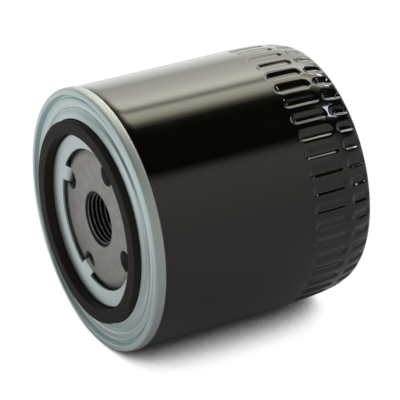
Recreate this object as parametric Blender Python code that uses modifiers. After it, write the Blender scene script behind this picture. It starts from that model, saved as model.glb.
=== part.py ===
"""Spin-on engine oil filter, lying on its side.

Every piece is modelled standing on its gasket face: local Z is the filter's axis, and a station is the
distance along it from the gasket face towards the closed end. One empty lays the whole assembly down, so
that the gasket face looks along world -Y. All lengths are in metres.
"""

from math import cos, pi, radians, sin, tau

import bmesh
import bpy
from mathutils import Matrix, Vector

# Whole filter
OVERALL_LENGTH = 0.0910
RIM_RADIUS = 0.0465
TOUCH_GAP = 0.0003

# Rolled rim and lid: the rim holds the can's neck between two layers of the lid
LID_SHEET = 0.0007
CAN_WALL = 0.0006
RIM_WIDTH = 2 * LID_SHEET + CAN_WALL + 2 * TOUCH_GAP
RIM_FRONT_STATION = 0.00245
RIM_BACK_STATION = 0.0063
RIM_CORNER = 0.0012
LID_FLANGE_STATION = 0.00315
LID_FLANGE_FALL = 0.0011
LID_GROOVE_STATION = 0.0043
LID_RIDGE_STATION = 0.0035
LID_RECESS_STATION = 0.0052

# Mounting gasket and the lid's rings, placed inward from the rim
GASKET_INSET = 0.0108
GASKET_WIDTH = 0.00465
GASKET_HEIGHT = 0.0056
GASKET_CHAMFER = 0.0003
GASKET_OUTER_RADIUS = RIM_RADIUS - GASKET_INSET
GASKET_INNER_RADIUS = GASKET_OUTER_RADIUS - GASKET_WIDTH
LID_GROOVE_OFFSET = 0.0032
LID_RIDGE_OFFSET = 0.0053
LID_GROOVE_RADIUS = GASKET_OUTER_RADIUS + LID_GROOVE_OFFSET
LID_RIDGE_RADIUS = GASKET_OUTER_RADIUS + LID_RIDGE_OFFSET
LID_FLANGE_WIDTH = 0.00595
LID_APERTURE_RADIUS = GASKET_INNER_RADIUS - LID_FLANGE_WIDTH
LID_APERTURE_STATION = LID_FLANGE_STATION + LID_FLANGE_FALL
LID_STEPS = 48

# Base plate
PLATE_THICKNESS = 0.0026
PLATE_CLEARANCE = 0.00015
PLATE_INSET = 0.0029
PLATE_RADIUS = RIM_RADIUS - RIM_WIDTH - PLATE_INSET
PLATE_FRONT_STATION = LID_APERTURE_STATION + LID_SHEET + PLATE_CLEARANCE
PLATE_SHOULDER_INSET = 0.0023
PLATE_SHOULDER_RUN = 0.0032
PLATE_RAISED_RADIUS = LID_APERTURE_RADIUS - PLATE_SHOULDER_INSET
PLATE_SHOULDER_RADIUS = PLATE_RAISED_RADIUS + PLATE_SHOULDER_RUN
THREAD_MAJOR_RADIUS = 0.009525
THREAD_DEPTH = 0.0008
THREAD_PITCH = 0.0254 / 16
THREAD_LEAD_IN = 0.0009
THREAD_MINOR_RADIUS = THREAD_MAJOR_RADIUS - THREAD_DEPTH
THREAD_MOUTH_RADIUS = THREAD_MAJOR_RADIUS + THREAD_LEAD_IN
BOSS_WALL = 0.0030
BOSS_LENGTH = 0.0099
BOSS_OUTER_RADIUS = THREAD_MAJOR_RADIUS + BOSS_WALL
BOSS_END_STATION = PLATE_FRONT_STATION + BOSS_LENGTH
PLATE_STEPS = 36

# Inlet slots, and the tabs bent from the lid into them
SLOT_COUNT = 4
SLOT_WIDTH = 0.0076
SLOT_LENGTH = 0.00975
SLOT_OVERRUN = 0.0019
SLOT_OUTER_REACH = LID_APERTURE_RADIUS + SLOT_OVERRUN
SLOT_INNER_REACH = SLOT_OUTER_REACH - SLOT_LENGTH
SLOT_FIRST_ANGLE = radians(-19.2)
SLOT_END_STEPS = 6
TAB_SIDE_CLEARANCE = 0.0006
TAB_WIDTH = SLOT_WIDTH - 2 * TAB_SIDE_CLEARANCE
TAB_BEND_RADIUS = 0.0030
TAB_REACH = 0.0044
TAB_ARC_STEPS = 4

# Can
RIM_OVERHANG = 0.0004
CAN_RADIUS = RIM_RADIUS - RIM_OVERHANG
CAN_NECK_OUTER_RADIUS = RIM_RADIUS - LID_SHEET - TOUCH_GAP
CAN_END_STATION = 0.0043
CAN_NECK_STATION = 0.0068
CAN_BODY_STATION = 0.0100
FLUTE_COUNT = 45
FLUTE_ANGLE = radians(6.2)
FLUTE_FIRST_ANGLE = radians(2.1)
FLUTE_DEPTH = 0.0007
FLUTE_WALL_RUN = 0.0013
LONG_FLUTE_LENGTH = 0.0131
FLUTE_SPACING = 0.0021
SHORT_FLUTE_LENGTH = 0.0053
DOME_RISE = 0.0028
DOME_CORNER_HEIGHT = 0.0031
DOME_CORNER_INSET = 0.0031
LONG_FLUTE_TAPER = 0.0004
RING_TAPER = 0.0006
SHORT_FLUTE_TAPER = 0.0017
DOME_CORNER_STATION = OVERALL_LENGTH - DOME_RISE
SHORT_FLUTE_END = DOME_CORNER_STATION - DOME_CORNER_HEIGHT
SHORT_FLUTE_START = SHORT_FLUTE_END - SHORT_FLUTE_LENGTH
LONG_FLUTE_END = SHORT_FLUTE_START - FLUTE_SPACING
LONG_FLUTE_START = LONG_FLUTE_END - LONG_FLUTE_LENGTH

# Filter element, between the base plate's boss and the element spring
ELEMENT_CLEARANCE = 0.0009
ELEMENT_SPRING_SPACE = 0.0169
ELEMENT_FRONT_STATION = BOSS_END_STATION + ELEMENT_CLEARANCE
ELEMENT_REAR_STATION = DOME_CORNER_STATION - ELEMENT_SPRING_SPACE
FLOW_GAP = 0.0064
CAP_SHEET = 0.0006
CAP_SKIRT = 0.0041
CAP_RADIUS = CAN_RADIUS - FLOW_GAP
CAP_FIT = 0.0005
POTTING_RADIUS = CAP_RADIUS - CAP_SHEET - CAP_FIT
POTTING_THICKNESS = 0.0014
PLEAT_MARGIN = 0.0006
MEDIA_OUTER_RADIUS = POTTING_RADIUS - PLEAT_MARGIN
MEDIA_SHEET = 0.0006
PLEAT_COUNT = 36
PLEAT_CREST_HALF_ANGLE = radians(0.5)
PLEAT_ROOT_HALF_ANGLE = radians(0.6)
CLIP_REACH = 0.0038
CLIP_SHEET = 0.0003
CLIP_HALF_OPENING = 0.00135
TUBE_OUTER_RADIUS = 0.0155
TUBE_WALL = 0.0006
TUBE_TO_MEDIA = 0.0009
MEDIA_INNER_RADIUS = TUBE_OUTER_RADIUS + TUBE_TO_MEDIA
TUBE_HOLE_RADIUS = 0.0022
TUBE_HOLE_ROWS = 4
TUBE_HOLES_PER_ROW = 6
TUBE_STEPS = 24
CAP_STEPS = 36

# Anti-drain valve
VALVE_RUBBER = 0.0011
VALVE_LIP_REACH = 0.0065
VALVE_LIP_RADIUS = PLATE_SHOULDER_RADIUS + VALVE_LIP_REACH
VALVE_LIP_WIDTH = 0.0025
VALVE_SLEEVE_WALL = 0.0018

# Bypass valve
BYPASS_PORT_RADIUS = 0.0065
BYPASS_SEAT_LAND = 0.0041
BYPASS_SEAT_RADIUS = BYPASS_PORT_RADIUS + BYPASS_SEAT_LAND
BYPASS_SEAT_DEPTH = 0.0020
BYPASS_SHEET = 0.0008
BYPASS_FLANGE_OVERLAP = 0.0024
BYPASS_DISC_CLEARANCE = 0.0012
BYPASS_GUIDE_RADIUS = 0.0034
BYPASS_GUIDE_LENGTH = 0.0036
BYPASS_STEPS = 24
CAGE_WALL = 0.0008
CAGE_INNER_RADIUS = BYPASS_SEAT_RADIUS + TOUCH_GAP
CAGE_OUTER_RADIUS = CAGE_INNER_RADIUS + CAGE_WALL
CAGE_FLANGE_RADIUS = CAGE_OUTER_RADIUS + TOUCH_GAP + BYPASS_FLANGE_OVERLAP
BYPASS_DISC_RADIUS = CAGE_INNER_RADIUS - BYPASS_DISC_CLEARANCE
CAGE_LENGTH = 0.0146
CAGE_WINDOW_WIDTH = 0.0085
CAGE_WINDOW_MARGIN = 0.0026
CAGE_DRAIN_RADIUS = 0.0030
SPRING_WIRE_RADIUS = 0.00055
SPRING_DISC_MARGIN = 0.0034
SPRING_COIL_RADIUS = BYPASS_DISC_RADIUS - SPRING_DISC_MARGIN
SPRING_TURNS = 5
SPRING_POINTS_PER_TURN = 14

# Element spring
HOLDER_SHEET = 0.0008
HOLDER_PORT_MARGIN = 0.0015
HOLDER_FLANGE_MARGIN = 0.0004
HOLDER_INNER_RADIUS = BYPASS_PORT_RADIUS + HOLDER_PORT_MARGIN
HOLDER_RING_RADIUS = CAGE_FLANGE_RADIUS + HOLDER_FLANGE_MARGIN
HOLDER_LEG_WIDTH = 0.0090
HOLDER_LEG_COUNT = 4
HOLDER_FOOT_INSET = 0.0120
HOLDER_TOE_LENGTH = 0.0025
HOLDER_FOOT_RADIUS = CAN_RADIUS - DOME_CORNER_INSET - HOLDER_FOOT_INSET
HOLDER_TOE_RADIUS = HOLDER_FOOT_RADIUS + HOLDER_TOE_LENGTH


def material(name, colour, roughness, metallic):
    made = bpy.data.materials.new(name)
    made.use_nodes = True
    shader = made.node_tree.nodes["Principled BSDF"]
    shader.inputs["Base Color"].default_value = (*colour, 1.0)
    shader.inputs["Roughness"].default_value = roughness
    shader.inputs["Metallic"].default_value = metallic
    made.diffuse_color = (*colour, 1.0)
    return made


def clear_scene():
    for thing in list(bpy.data.objects):
        bpy.data.objects.remove(thing, do_unlink=True)


def new_collection(name, hidden=False):
    made = bpy.data.collections.new(name)
    made.hide_render = hidden
    bpy.context.scene.collection.children.link(made)
    return made


def link(name, mesh, look, is_cutter=False):
    """A child of the assembly made from this mesh, in the parts' collection or in the cutters'."""
    obj = bpy.data.objects.new(name, mesh)
    obj.parent = assembly
    if is_cutter:
        obj.hide_render = True
        obj.display_type = "WIRE"
        cutters.objects.link(obj)
    else:
        obj.data.materials.append(look)
        parts.objects.link(obj)
    return obj


def mesh_from(name, bm, smooth=False):
    bmesh.ops.recalc_face_normals(bm, faces=bm.faces)
    for face in bm.faces:
        face.smooth = smooth
    mesh = bpy.data.meshes.new(name)
    bm.to_mesh(mesh)
    bm.free()
    return mesh


def wound_outward(profile):
    """The closed profile in the order that a Screw needs: up its inner side and down its outer side."""
    area = 0.0
    for (r0, z0), (r1, z1) in zip(profile, profile[1:] + profile[:1]):
        area += r0 * z1 - r1 * z0
    return profile[::-1] if area > 0 else profile


def turned(name, profile, steps, look, is_cutter=False):
    """A ring or disc turned about the axis from a closed profile of (radius, station) corners.

    Each facet's middle lies at the stated radius, so a facet and not a corner faces down when it lies.
    """
    points = wound_outward(profile)
    touches_axis = any(radius == 0.0 for radius, _ in points)
    count = len(points)
    edges = [(i, (i + 1) % count) for i in range(count)]
    if touches_axis:
        edges = [(i, j) for i, j in edges if points[i][0] > 0.0 or points[j][0] > 0.0]
    mesh = bpy.data.meshes.new(name)
    corner = 1 / cos(pi / steps)
    mesh.from_pydata([(radius * corner, 0.0, station) for radius, station in points], edges, [])
    obj = link(name, mesh, look, is_cutter)
    obj.rotation_euler.z = pi / steps
    screw = obj.modifiers.new("Turn", "SCREW")
    screw.axis = "Z"
    screw.angle = tau
    screw.steps = steps
    screw.render_steps = steps
    screw.use_merge_vertices = True
    screw.merge_threshold = 0.00001
    screw.use_smooth_shade = True
    soften(obj)
    return obj


def soften(obj):
    obj.modifiers.new("Normals", "WEIGHTED_NORMAL")


def cut(obj, cutter, operation="DIFFERENCE"):
    boolean = obj.modifiers.new(operation.title(), "BOOLEAN")
    boolean.operation = operation
    boolean.solver = "EXACT"
    boolean.object = cutter


def around(angle):
    return Matrix.Rotation(angle, 4, "Z")


def prism(bm, outline, start, end, placed):
    """An outline of (x, y) corners drawn out from one station to another."""
    lower = [bm.verts.new(placed @ Vector((x, y, start))) for x, y in outline]
    upper = [bm.verts.new(placed @ Vector((x, y, end))) for x, y in outline]
    bm.faces.new(lower)
    bm.faces.new(upper)
    for i in range(len(outline)):
        j = (i + 1) % len(outline)
        bm.faces.new((lower[i], lower[j], upper[j], upper[i]))


def bent_strip(bm, path, thickness, width, placed):
    """A flat strip bent along a path of (radius, station) points, its thickness laid to the path's left."""
    normals = []
    for i in range(len(path)):
        r0, z0 = path[max(i - 1, 0)]
        r1, z1 = path[min(i + 1, len(path) - 1)]
        normals.append(Vector((z0 - z1, r1 - r0)).normalized())
    sections = []
    for (radius, station), normal in zip(path, normals):
        far_radius = radius + normal.x * thickness
        far_station = station + normal.y * thickness
        corners = (
            (radius, -width / 2, station),
            (radius, width / 2, station),
            (far_radius, width / 2, far_station),
            (far_radius, -width / 2, far_station),
        )
        sections.append([bm.verts.new(placed @ Vector(corner)) for corner in corners])
    bm.faces.new(sections[0])
    bm.faces.new(sections[-1])
    for near, far in zip(sections, sections[1:]):
        for i in range(4):
            j = (i + 1) % 4
            bm.faces.new((near[i], near[j], far[j], far[i]))


# Lid and gasket


def lid_profile():
    """Front face from the aperture out to the rim's back edge, then the sheet's back face inward again."""
    channel_inner = GASKET_INNER_RADIUS - TOUCH_GAP
    channel_outer = GASKET_OUTER_RADIUS + TOUCH_GAP
    floor = GASKET_HEIGHT + TOUCH_GAP
    seam_inner = RIM_RADIUS - RIM_WIDTH
    sheet = LID_SHEET
    front = [
        (LID_APERTURE_RADIUS, LID_APERTURE_STATION),
        (channel_inner - sheet, LID_FLANGE_STATION),
        (channel_inner, LID_FLANGE_STATION + sheet),
        (channel_inner, floor),
        (channel_outer, floor),
        (channel_outer, LID_FLANGE_STATION + sheet / 2),
        (channel_outer + sheet, LID_FLANGE_STATION - sheet / 4),
        (LID_GROOVE_RADIUS - 1.6 * sheet, LID_FLANGE_STATION + sheet / 4),
        (LID_GROOVE_RADIUS - sheet / 2, LID_GROOVE_STATION),
        (LID_GROOVE_RADIUS + sheet / 2, LID_GROOVE_STATION),
        (LID_RIDGE_RADIUS - sheet, LID_RIDGE_STATION),
        (LID_RIDGE_RADIUS + sheet / 2, LID_RIDGE_STATION),
        (seam_inner - 1.3 * sheet, LID_RECESS_STATION),
        (seam_inner - sheet / 3, LID_RECESS_STATION),
        (seam_inner, LID_RECESS_STATION - sheet / 2),
        (seam_inner, RIM_FRONT_STATION + RIM_CORNER * 0.8),
        (seam_inner + RIM_CORNER * 0.7, RIM_FRONT_STATION),
        (RIM_RADIUS - RIM_CORNER, RIM_FRONT_STATION),
        (RIM_RADIUS - RIM_CORNER * 0.3, RIM_FRONT_STATION + RIM_CORNER * 0.3),
        (RIM_RADIUS, RIM_FRONT_STATION + RIM_CORNER),
        (RIM_RADIUS, RIM_BACK_STATION),
    ]
    back = [
        (RIM_RADIUS - sheet, RIM_BACK_STATION),
        (RIM_RADIUS - sheet, RIM_FRONT_STATION + sheet),
        (seam_inner + sheet, RIM_FRONT_STATION + sheet),
        (seam_inner + sheet, LID_RECESS_STATION + sheet / 2),
        (seam_inner - 2 * sheet, LID_RECESS_STATION + sheet),
        (LID_RIDGE_RADIUS, LID_RIDGE_STATION + 1.3 * sheet),
        (LID_GROOVE_RADIUS + sheet / 2, LID_GROOVE_STATION + sheet),
        (LID_GROOVE_RADIUS - sheet, LID_GROOVE_STATION + sheet),
        (LID_GROOVE_RADIUS - 2.2 * sheet, LID_FLANGE_STATION + sheet),
        (channel_outer + sheet, LID_FLANGE_STATION + sheet),
        (channel_outer + sheet, floor + sheet),
        (channel_inner - sheet, floor + sheet),
        (channel_inner - sheet, LID_FLANGE_STATION + 1.5 * sheet),
        (LID_APERTURE_RADIUS, LID_APERTURE_STATION + sheet),
    ]
    return front + back


def tab_path():
    """The tab's front face: out of the lid's flange, round the bend and down into the slot."""
    start = LID_APERTURE_RADIUS + LID_SHEET
    station = LID_APERTURE_STATION
    path = [(start, station)]
    for i in range(TAB_ARC_STEPS + 1):
        angle = pi / 2 * i / TAB_ARC_STEPS
        radius = LID_APERTURE_RADIUS - TAB_BEND_RADIUS * sin(angle)
        path.append((radius, station + TAB_BEND_RADIUS * (1 - cos(angle))))
    path.append((LID_APERTURE_RADIUS - TAB_BEND_RADIUS, PLATE_FRONT_STATION + TAB_REACH))
    return path


def make_lid():
    lid = turned("seaming_lid", lid_profile(), LID_STEPS, zinc)
    lid.modifiers.remove(lid.modifiers["Normals"])
    for i in range(SLOT_COUNT):
        bm = bmesh.new()
        placed = around(slot_angle(i))
        bent_strip(bm, tab_path(), -LID_SHEET, TAB_WIDTH, placed)
        tab = link(f"lid_tab_{i}", mesh_from("lid_tab", bm), None, is_cutter=True)
        cut(lid, tab, "UNION")
    soften(lid)


def make_gasket():
    edge = GASKET_CHAMFER
    profile = [
        (GASKET_INNER_RADIUS + edge, 0.0),
        (GASKET_OUTER_RADIUS - edge, 0.0),
        (GASKET_OUTER_RADIUS, edge),
        (GASKET_OUTER_RADIUS, GASKET_HEIGHT),
        (GASKET_INNER_RADIUS, GASKET_HEIGHT),
        (GASKET_INNER_RADIUS, edge),
    ]
    turned("mounting_gasket", profile, LID_STEPS, gasket_rubber)


def make_sealant():
    inner = RIM_RADIUS - RIM_WIDTH + LID_SHEET + TOUCH_GAP
    outer = RIM_RADIUS - LID_SHEET - TOUCH_GAP
    front = RIM_FRONT_STATION + LID_SHEET + TOUCH_GAP
    back = CAN_END_STATION - TOUCH_GAP
    profile = [(inner, front), (outer, front), (outer, back), (inner, back)]
    turned("seam_sealant_ring", profile, LID_STEPS, sealant)


# Base plate


def slot_angle(index):
    """Angle about local Z. The world's X and Z are the filter's local X and -Y once it lies down."""
    return -(SLOT_FIRST_ANGLE + index * tau / SLOT_COUNT)


def thread_profile():
    """Bore of the boss from its mouth to its end: one annular groove for each turn of the thread."""
    start = PLATE_FRONT_STATION + THREAD_LEAD_IN
    turns = int((BOSS_END_STATION - start) / THREAD_PITCH)
    points = [(THREAD_MOUTH_RADIUS, PLATE_FRONT_STATION)]
    for i in range(turns):
        station = start + i * THREAD_PITCH
        points.append((THREAD_MINOR_RADIUS, station))
        points.append((THREAD_MINOR_RADIUS, station + THREAD_PITCH / 4))
        points.append((THREAD_MAJOR_RADIUS, station + THREAD_PITCH * 0.6))
    points.append((THREAD_MINOR_RADIUS, start + turns * THREAD_PITCH))
    points.append((THREAD_MINOR_RADIUS, BOSS_END_STATION))
    return points


def make_base_plate():
    outer_front = GASKET_HEIGHT + TOUCH_GAP + LID_SHEET + TOUCH_GAP
    outer_back = outer_front + PLATE_THICKNESS
    raised_back = PLATE_FRONT_STATION + PLATE_THICKNESS
    edge = PLATE_THICKNESS / 4
    profile = thread_profile() + [
        (BOSS_OUTER_RADIUS, BOSS_END_STATION),
        (BOSS_OUTER_RADIUS, raised_back + edge),
        (BOSS_OUTER_RADIUS + edge, raised_back),
        (PLATE_RAISED_RADIUS - edge, raised_back),
        (PLATE_SHOULDER_RADIUS - edge, outer_back),
        (PLATE_RADIUS - edge, outer_back),
        (PLATE_RADIUS, outer_back - edge),
        (PLATE_RADIUS, outer_front + edge),
        (PLATE_RADIUS - edge, outer_front),
        (PLATE_SHOULDER_RADIUS, outer_front),
        (PLATE_RAISED_RADIUS, PLATE_FRONT_STATION),
    ]
    plate = turned("base_plate", profile, PLATE_STEPS, raw_steel)
    plate.modifiers.remove(plate.modifiers["Normals"])
    half = SLOT_WIDTH / 2
    outline = [(SLOT_OUTER_REACH, -half), (SLOT_OUTER_REACH, half)]
    for i in range(SLOT_END_STEPS + 1):
        angle = pi / 2 + pi * i / SLOT_END_STEPS
        outline.append((SLOT_INNER_REACH + half + half * cos(angle), half * sin(angle)))
    for i in range(SLOT_COUNT):
        bm = bmesh.new()
        prism(bm, outline, 0.0, BOSS_END_STATION, around(slot_angle(i)))
        cutter = link(f"slot_cutter_{i}", mesh_from("slot_cutter", bm), None, is_cutter=True)
        cut(plate, cutter)
    soften(plate)


# Can


def can_outer_rows():
    """Outer surface of the can from its open end to its dome."""
    corner = CAN_RADIUS - DOME_CORNER_INSET
    return [
        (CAN_NECK_OUTER_RADIUS, CAN_END_STATION),
        (CAN_NECK_OUTER_RADIUS, CAN_NECK_STATION),
        (CAN_RADIUS, CAN_BODY_STATION),
        (CAN_RADIUS, LONG_FLUTE_START),
        (CAN_RADIUS - LONG_FLUTE_TAPER, LONG_FLUTE_END),
        (CAN_RADIUS - RING_TAPER, SHORT_FLUTE_START),
        (CAN_RADIUS - SHORT_FLUTE_TAPER, SHORT_FLUTE_END),
        (corner + CAN_WALL, DOME_CORNER_STATION - 2 * CAN_WALL),
        (corner - 2 * CAN_WALL, DOME_CORNER_STATION + CAN_WALL),
    ]


def can_inner_rows():
    """Inner surface from the dome back to the open end. Round the flutes it stands clear of their floors."""
    behind_flutes = CAN_WALL + FLUTE_DEPTH
    corner = CAN_RADIUS - DOME_CORNER_INSET
    return [
        (corner - 3 * CAN_WALL, DOME_CORNER_STATION),
        (corner - CAN_WALL, DOME_CORNER_STATION - 3 * CAN_WALL),
        (CAN_RADIUS - SHORT_FLUTE_TAPER - behind_flutes, SHORT_FLUTE_END),
        (CAN_RADIUS - RING_TAPER - behind_flutes, SHORT_FLUTE_START),
        (CAN_RADIUS - CAN_WALL, LONG_FLUTE_START - behind_flutes),
        (CAN_RADIUS - CAN_WALL, CAN_BODY_STATION + CAN_WALL / 3),
        (CAN_NECK_OUTER_RADIUS - CAN_WALL, CAN_NECK_STATION + CAN_WALL / 3),
        (CAN_NECK_OUTER_RADIUS - CAN_WALL, CAN_END_STATION),
    ]


def make_can():
    pitch = tau / FLUTE_COUNT
    angles = []
    for i in range(FLUTE_COUNT):
        middle = -(FLUTE_FIRST_ANGLE + i * pitch)
        angles.append(middle + FLUTE_ANGLE / 2)
        angles.append(middle - FLUTE_ANGLE / 2)
    bm = bmesh.new()
    outer = can_outer_rows()
    rows = []
    for radius, station in outer + can_inner_rows():
        rows.append([bm.verts.new((radius * cos(a), radius * sin(a), station)) for a in angles])
    outer_apex = bm.verts.new((0.0, 0.0, OVERALL_LENGTH))
    inner_apex = bm.verts.new((0.0, 0.0, OVERALL_LENGTH - CAN_WALL))
    count = len(angles)
    flute_rows = [
        i for i, (_, station) in enumerate(outer) if station in (LONG_FLUTE_START, SHORT_FLUTE_START)
    ]
    flutes = []
    for i in range(len(rows)):
        near = rows[i]
        far = rows[(i + 1) % len(rows)]
        for j in range(count):
            k = (j + 1) % count
            if i == len(outer) - 1:
                bm.faces.new((near[j], near[k], outer_apex))
                bm.faces.new((far[k], far[j], inner_apex))
                continue
            face = bm.faces.new((near[j], near[k], far[k], far[j]))
            if i in flute_rows and j % 2 == 0:
                flutes.append(face)
    bmesh.ops.recalc_face_normals(bm, faces=bm.faces)
    bmesh.ops.inset_individual(bm, faces=flutes, thickness=FLUTE_WALL_RUN, depth=-FLUTE_DEPTH)
    can = link("can", mesh_from("can", bm, smooth=True), black_paint)
    soften(can)


# Filter element


def cap_profile(disc_front, disc_back, skirt_end, hole_radius):
    """A flat cap with a skirt round the pleats. The skirt leaves the disc towards skirt_end."""
    inner = CAP_RADIUS - CAP_SHEET
    outer = CAP_RADIUS
    if skirt_end > disc_back:
        return [
            (hole_radius, disc_front),
            (outer, disc_front),
            (outer, skirt_end),
            (inner, skirt_end),
            (inner, disc_back),
            (hole_radius, disc_back),
        ]
    return [
        (hole_radius, disc_back),
        (outer, disc_back),
        (outer, skirt_end),
        (inner, skirt_end),
        (inner, disc_front),
        (hole_radius, disc_front),
    ]


def make_caps():
    tube_inner = TUBE_OUTER_RADIUS - TUBE_WALL
    front = ELEMENT_FRONT_STATION
    neck_outer = tube_inner - TOUCH_GAP
    neck_inner = neck_outer - CAP_SHEET
    profile = cap_profile(front, front + CAP_SHEET, front + CAP_SKIRT, neck_outer)
    profile[-1:] = [
        (neck_outer, front + CAP_SHEET),
        (neck_outer, front + CAP_SKIRT),
        (neck_inner, front + CAP_SKIRT),
    ]
    profile[0] = (neck_inner, front)
    turned("front_end_cap", profile, CAP_STEPS, tin)
    rear = ELEMENT_REAR_STATION
    hole = CAGE_OUTER_RADIUS + TOUCH_GAP
    turned("rear_end_cap", cap_profile(rear - CAP_SHEET, rear, rear - CAP_SKIRT, hole), CAP_STEPS, tin)


def potting_stations():
    front = ELEMENT_FRONT_STATION + CAP_SHEET + TOUCH_GAP
    rear = ELEMENT_REAR_STATION - CAP_SHEET - TOUCH_GAP
    return front, rear


def ring(name, inner, outer, start, end, steps, look):
    turned(name, [(inner, start), (outer, start), (outer, end), (inner, end)], steps, look)


def make_potting():
    front, rear = potting_stations()
    inner = TUBE_OUTER_RADIUS + TOUCH_GAP
    ring("front_potting", inner, POTTING_RADIUS, front, front + POTTING_THICKNESS, CAP_STEPS, potting)
    ring("rear_potting", inner, POTTING_RADIUS, rear - POTTING_THICKNESS, rear, CAP_STEPS, potting)


def media_stations():
    front, rear = potting_stations()
    inset = POTTING_THICKNESS + TOUCH_GAP
    return front + inset, rear - inset


def make_media():
    """A star of folded sheet: an outer and an inner zigzag, one sheet apart, joined at both ends."""
    start, end = media_stations()
    pitch = tau / PLEAT_COUNT
    sheet = MEDIA_SHEET
    outer_crest = PLEAT_CREST_HALF_ANGLE + sheet / MEDIA_OUTER_RADIUS
    inner_root = PLEAT_ROOT_HALF_ANGLE + sheet / MEDIA_INNER_RADIUS
    outside = []
    inside = []
    for i in range(PLEAT_COUNT):
        crest = i * pitch
        root = crest + pitch / 2
        outside += [
            (MEDIA_OUTER_RADIUS, crest - outer_crest),
            (MEDIA_OUTER_RADIUS, crest + outer_crest),
            (MEDIA_INNER_RADIUS + sheet, root - PLEAT_ROOT_HALF_ANGLE),
            (MEDIA_INNER_RADIUS + sheet, root + PLEAT_ROOT_HALF_ANGLE),
        ]
        inside += [
            (MEDIA_OUTER_RADIUS - sheet, crest - PLEAT_CREST_HALF_ANGLE),
            (MEDIA_OUTER_RADIUS - sheet, crest + PLEAT_CREST_HALF_ANGLE),
            (MEDIA_INNER_RADIUS, root - inner_root),
            (MEDIA_INNER_RADIUS, root + inner_root),
        ]
    bm = bmesh.new()
    loops = []
    for outline in (outside, inside):
        for station in (start, end):
            loops.append([bm.verts.new((r * cos(a), r * sin(a), station)) for r, a in outline])
    out_low, out_high, in_low, in_high = loops
    for i in range(len(outside)):
        j = (i + 1) % len(outside)
        bm.faces.new((out_low[i], out_low[j], out_high[j], out_high[i]))
        bm.faces.new((in_high[i], in_high[j], in_low[j], in_low[i]))
        bm.faces.new((out_high[i], out_high[j], in_high[j], in_high[i]))
        bm.faces.new((in_low[i], in_low[j], out_low[j], out_low[i]))
    link("pleated_media", mesh_from("pleated_media", bm), paper)


def make_clip():
    """A U-shaped strip over one pleat, along the paper's joint."""
    start, end = media_stations()
    margin = CAP_SKIRT
    back = MEDIA_OUTER_RADIUS + TOUCH_GAP
    half = CLIP_HALF_OPENING
    outline = [
        (back - CLIP_REACH, half),
        (back, half),
        (back, -half),
        (back - CLIP_REACH, -half),
        (back - CLIP_REACH, -half - CLIP_SHEET),
        (back + CLIP_SHEET, -half - CLIP_SHEET),
        (back + CLIP_SHEET, half + CLIP_SHEET),
        (back - CLIP_REACH, half + CLIP_SHEET),
    ]
    bm = bmesh.new()
    prism(bm, outline, start + margin, end - margin, Matrix.Identity(4))
    link("media_seam_clip", mesh_from("media_seam_clip", bm), tin)


def make_centre_tube():
    front, rear = potting_stations()
    inner = TUBE_OUTER_RADIUS - TUBE_WALL
    profile = [(inner, front), (TUBE_OUTER_RADIUS, front), (TUBE_OUTER_RADIUS, rear), (inner, rear)]
    tube = turned("centre_tube", profile, TUBE_STEPS, tin)
    tube.modifiers.remove(tube.modifiers["Normals"])
    bm = bmesh.new()
    spacing = (rear - front) / (TUBE_HOLE_ROWS + 1)
    length = TUBE_OUTER_RADIUS
    for row in range(TUBE_HOLE_ROWS):
        for i in range(TUBE_HOLES_PER_ROW):
            turn = (i + (row % 2) / 2) * tau / TUBE_HOLES_PER_ROW
            centre = Vector((length, 0.0, front + (row + 1) * spacing))
            placed = around(turn) @ Matrix.Translation(centre) @ Matrix.Rotation(pi / 2, 4, "Y")
            bmesh.ops.create_cone(
                bm,
                cap_ends=True,
                segments=8,
                radius1=TUBE_HOLE_RADIUS,
                radius2=TUBE_HOLE_RADIUS,
                depth=length / 2,
                matrix=placed,
            )
    cutter = link("tube_cutter", mesh_from("tube_cutter", bm), None, is_cutter=True)
    cut(tube, cutter)
    soften(tube)


def make_anti_drain_valve():
    sleeve_inner = BOSS_OUTER_RADIUS + TOUCH_GAP
    sleeve_outer = sleeve_inner + VALVE_SLEEVE_WALL
    back = ELEMENT_FRONT_STATION - TOUCH_GAP
    plate_back = GASKET_HEIGHT + LID_SHEET + 2 * TOUCH_GAP + PLATE_THICKNESS
    lip_front = plate_back + TOUCH_GAP
    lip_inner = VALVE_LIP_RADIUS - VALVE_LIP_WIDTH
    web = VALVE_RUBBER
    profile = [
        (sleeve_inner, back - 3.5 * web),
        (sleeve_inner, back),
        (sleeve_outer + web, back),
        (sleeve_outer + 3 * web, back - web),
        (lip_inner, lip_front + 1.5 * web),
        (VALVE_LIP_RADIUS, lip_front + 1.2 * web),
        (VALVE_LIP_RADIUS, lip_front + web / 3),
        (VALVE_LIP_RADIUS - web / 2, lip_front),
        (lip_inner, lip_front),
        (sleeve_outer + 2 * web, back - 2.4 * web),
        (sleeve_outer, back - 3.5 * web),
    ]
    turned("anti_drain_valve", profile, CAP_STEPS, valve_rubber)


# Bypass valve


def bypass_stations():
    """Stations from the rear cap outward: cage flange, seat flange, seat face, and the moving disc's back."""
    cage_flange = ELEMENT_REAR_STATION + TOUCH_GAP
    seat_flange = cage_flange + BYPASS_SHEET + TOUCH_GAP
    seat_face = seat_flange - BYPASS_SEAT_DEPTH
    seal_face = seat_face - TOUCH_GAP
    disc_face = seal_face - BYPASS_SHEET - TOUCH_GAP
    disc_back = disc_face - BYPASS_SHEET
    return cage_flange, seat_flange, seat_face, seal_face, disc_face, disc_back


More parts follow.
